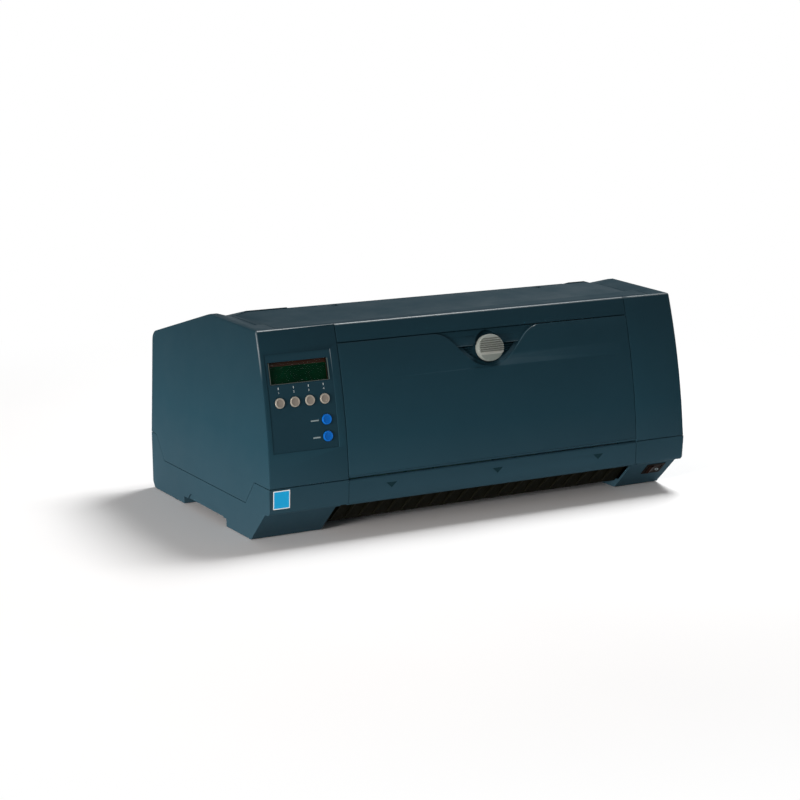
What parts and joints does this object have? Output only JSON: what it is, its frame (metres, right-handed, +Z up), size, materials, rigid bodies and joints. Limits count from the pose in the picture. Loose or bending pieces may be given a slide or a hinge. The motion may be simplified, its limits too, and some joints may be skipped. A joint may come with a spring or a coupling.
{
  "type": "dot matrix printer",
  "caption": "Wide dot matrix printer with hinged top and rear covers, a curved drop-down front door, a keypad with display, a platen, tractors and a belt-driven print head.",
  "frame": {"origin": "middle of the footprint on the table", "axes": "+X to the right seen from the front, +Y from the front to the rear, +Z up"},
  "size_m": [0.6, 0.32, 0.252],
  "materials": {
    "casing_plastic": "fine grained moulded plastic, dark blue grey",
    "panel_plastic": "fine grained plastic, darker than the casing",
    "black_plastic": "grained black plastic",
    "knob_plastic": "satin warm grey plastic",
    "grey_key_plastic": "satin warm grey plastic",
    "blue_key_plastic": "glossy blue plastic",
    "window": "clear window over a dark green display",
    "display": "dark green display glass in a frame",
    "board": "green circuit board with solder resist",
    "label_film": "printed plastic film, blue with a white rim",
    "rocker_plastic": "glossy dark plastic with a red tint",
    "rubber": "matt black rubber",
    "ribbon_fabric": "inked woven nylon",
    "steel": "zinc plated sheet and rod",
    "dark_steel": "dark painted metal",
    "white_plastic": "natural white gear plastic",
    "green_plastic": "satin green plastic",
    "pulley_brass": "machined brass"
  },
  "bodies": {
    "casing": {"base_casing": "casing_plastic", "upper_casing": "casing_plastic", "front_crossbar": "casing_plastic", "front_guide": "black_plastic", "control_panel": "panel_plastic", "lcd_window": "window", "lcd_module": "display", "panel_board": "board", "front_label": "label_film", "switch_housing": "black_plastic", "rubber_feet": "rubber", "hinge_pins": "steel", "left_side_plate": "steel", "right_side_plate": "steel", "frame_beams": "steel", "bushes": "white_plastic", "feed_motor": "dark_steel", "tractor_rod": "steel", "carriage_rods": "steel", "carriage_motor": "dark_steel", "toothed_belt": "rubber", "ribbon_cartridge": "black_plastic", "ribbon": "ribbon_fabric", "paper_guide": "dark_steel", "main_board": "board", "power_supply": "steel", "rear_connectors": "steel", "power_inlet": "black_plastic", "case_screws": "steel"},
    "top_cover": {"top_cover": "casing_plastic"},
    "rear_cover": {"rear_cover": "casing_plastic"},
    "front_door": {"front_door": "casing_plastic"},
    "door_latch": {"latch_knob": "knob_plastic", "latch_tongue": "steel"},
    "paper_flap": {"paper_flap": "casing_plastic"},
    "grey_key_1": {"grey_key_1": "grey_key_plastic"},
    "grey_key_2": {"grey_key_2": "grey_key_plastic"},
    "grey_key_3": {"grey_key_3": "grey_key_plastic"},
    "grey_key_4": {"grey_key_4": "grey_key_plastic"},
    "blue_key_upper": {"blue_key_upper": "blue_key_plastic"},
    "blue_key_lower": {"blue_key_lower": "blue_key_plastic"},
    "power_rocker": {"power_rocker": "rocker_plastic"},
    "platen": {"platen": "rubber", "platen_gear": "white_plastic"},
    "idler_gear": {"idler_gear": "white_plastic"},
    "feed_pinion": {"feed_pinion": "pulley_brass"},
    "tractor_shaft": {"tractor_shaft": "steel"},
    "left_tractor": {"left_tractor": "black_plastic"},
    "right_tractor": {"right_tractor": "black_plastic"},
    "left_tractor_flap": {"left_tractor_flap": "black_plastic"},
    "right_tractor_flap": {"right_tractor_flap": "black_plastic"},
    "left_sprocket": {"left_sprocket": "white_plastic"},
    "right_sprocket": {"right_sprocket": "white_plastic"},
    "carriage": {"carriage": "black_plastic", "print_head": "dark_steel"},
    "motor_pulley": {"motor_pulley": "pulley_brass"},
    "tension_pulley": {"tension_pulley": "white_plastic"},
    "ribbon_knob": {"ribbon_knob": "blue_key_plastic"},
    "head_gap_lever": {"head_gap_lever": "green_plastic"}
  },
  "joints": [
    {"name": "top_cover_hinge", "type": "hinge", "parent": "casing", "child": "top_cover", "pos_m": [0, -0.0085, 0.2465], "axis": [-1, 0, 0], "range_deg": [0, 80]},
    {"name": "rear_cover_hinge", "type": "hinge", "parent": "casing", "child": "rear_cover", "pos_m": [0.0155, 0.1361, 0.20597], "axis": [-1, 0, 0], "range_deg": [0, 80]},
    {"name": "front_door_hinge", "type": "hinge", "parent": "casing", "child": "front_door", "pos_m": [0.0155, -0.15603, 0.0769], "axis": [1, 0, 0], "range_deg": [0, 92]},
    {"name": "door_latch_slide", "type": "slide", "parent": "front_door", "child": "door_latch", "axis": [0, 0.2815, 0.9596], "range_m": [0, 0.004]},
    {"name": "paper_flap_hinge", "type": "hinge", "parent": "casing", "child": "paper_flap", "pos_m": [0.0155, -0.157, 0.0696], "axis": [-1, 0, 0], "range_deg": [0, 65]},
    {"name": "grey_key_1_press", "type": "slide", "parent": "casing", "child": "grey_key_1", "axis": [0, 0.9728, -0.2315], "range_m": [0, 0.001], "stiffness_N_per_m": 300, "springref_m": -0.001},
    {"name": "grey_key_2_press", "type": "slide", "parent": "casing", "child": "grey_key_2", "axis": [0, 0.9728, -0.2315], "range_m": [0, 0.001], "stiffness_N_per_m": 300, "springref_m": -0.001},
    {"name": "grey_key_3_press", "type": "slide", "parent": "casing", "child": "grey_key_3", "axis": [0, 0.9728, -0.2315], "range_m": [0, 0.001], "stiffness_N_per_m": 300, "springref_m": -0.001},
    {"name": "grey_key_4_press", "type": "slide", "parent": "casing", "child": "grey_key_4", "axis": [0, 0.9728, -0.2315], "range_m": [0, 0.001], "stiffness_N_per_m": 300, "springref_m": -0.001},
    {"name": "blue_key_upper_press", "type": "slide", "parent": "casing", "child": "blue_key_upper", "axis": [0, 0.9797, -0.2003], "range_m": [0, 0.001], "stiffness_N_per_m": 300, "springref_m": -0.001},
    {"name": "blue_key_lower_press", "type": "slide", "parent": "casing", "child": "blue_key_lower", "axis": [0, 0.9846, -0.1748], "range_m": [0, 0.001], "stiffness_N_per_m": 300, "springref_m": -0.001},
    {"name": "power_rocker_tip", "type": "hinge", "parent": "casing", "child": "power_rocker", "pos_m": [0.272, -0.13341, 0.02949], "axis": [0, 0.6903, -0.7235], "range_deg": [0, 16]},
    {"name": "platen_spin", "type": "hinge", "parent": "casing", "child": "platen", "pos_m": [0.0155, 0.02, 0.15], "axis": [1, 0, 0], "continuous": true},
    {"name": "idler_gear_spin", "type": "hinge", "parent": "casing", "child": "idler_gear", "pos_m": [0.2285, -0.03204, 0.109], "axis": [1, 0, 0], "continuous": true},
    {"name": "feed_pinion_spin", "type": "hinge", "parent": "casing", "child": "feed_pinion", "pos_m": [0.2285, 0.04494, 0.13674], "axis": [1, 0, 0], "continuous": true},
    {"name": "tractor_shaft_spin", "type": "hinge", "parent": "casing", "child": "tractor_shaft", "pos_m": [0.0155, -0.094, 0.092], "axis": [1, 0, 0], "continuous": true},
    {"name": "left_tractor_slide", "type": "slide", "parent": "casing", "child": "left_tractor", "axis": [1, 0, 0], "range_m": [0, 0.022]},
    {"name": "left_tractor_flap_hinge", "type": "hinge", "parent": "left_tractor", "child": "left_tractor_flap", "pos_m": [-0.1585, -0.094, 0.111], "axis": [0, -1, 0], "range_deg": [0, 85]},
    {"name": "left_sprocket_spin", "type": "hinge", "parent": "left_tractor", "child": "left_sprocket", "pos_m": [-0.1495, -0.094, 0.092], "axis": [1, 0, 0], "continuous": true},
    {"name": "right_tractor_slide", "type": "slide", "parent": "casing", "child": "right_tractor", "axis": [-1, 0, 0], "range_m": [0, 0.022]},
    {"name": "right_tractor_flap_hinge", "type": "hinge", "parent": "right_tractor", "child": "right_tractor_flap", "pos_m": [0.1895, -0.094, 0.111], "axis": [0, 1, 0], "range_deg": [0, 85]},
    {"name": "right_sprocket_spin", "type": "hinge", "parent": "right_tractor", "child": "right_sprocket", "pos_m": [0.1805, -0.094, 0.092], "axis": [1, 0, 0], "continuous": true},
    {"name": "carriage_slide", "type": "slide", "parent": "casing", "child": "carriage", "axis": [1, 0, 0], "range_m": [-0.17, 0.17]},
    {"name": "motor_pulley_spin", "type": "hinge", "parent": "casing", "child": "motor_pulley", "pos_m": [-0.1735, -0.063, 0.15], "axis": [0, 1, 0], "continuous": true},
    {"name": "tension_pulley_spin", "type": "hinge", "parent": "casing", "child": "tension_pulley", "pos_m": [0.2045, -0.063, 0.15], "axis": [0, 1, 0], "continuous": true},
    {"name": "ribbon_knob_spin", "type": "hinge", "parent": "casing", "child": "ribbon_knob", "pos_m": [-0.1585, -0.084, 0.202], "axis": [0, 0, 1], "continuous": true},
    {"name": "head_gap_lever_swing", "type": "hinge", "parent": "casing", "child": "head_gap_lever", "pos_m": [0.2285, -0.014, 0.194], "axis": [-1, 0, 0], "range_deg": [0, 24]}
  ],
  "couplings": [
    {"joint": "idler_gear_spin", "follows": "platen_spin", "ratio": -0.43478},
    {"joint": "feed_pinion_spin", "follows": "platen_spin", "ratio": -2.5},
    {"joint": "tractor_shaft_spin", "follows": "platen_spin", "ratio": 1.1111},
    {"joint": "left_sprocket_spin", "follows": "platen_spin", "ratio": 1.1111},
    {"joint": "right_sprocket_spin", "follows": "platen_spin", "ratio": 1.1111},
    {"joint": "motor_pulley_spin", "follows": "carriage_slide", "rad_per_m": 101.01},
    {"joint": "tension_pulley_spin", "follows": "carriage_slide", "rad_per_m": 101.01}
  ]
}
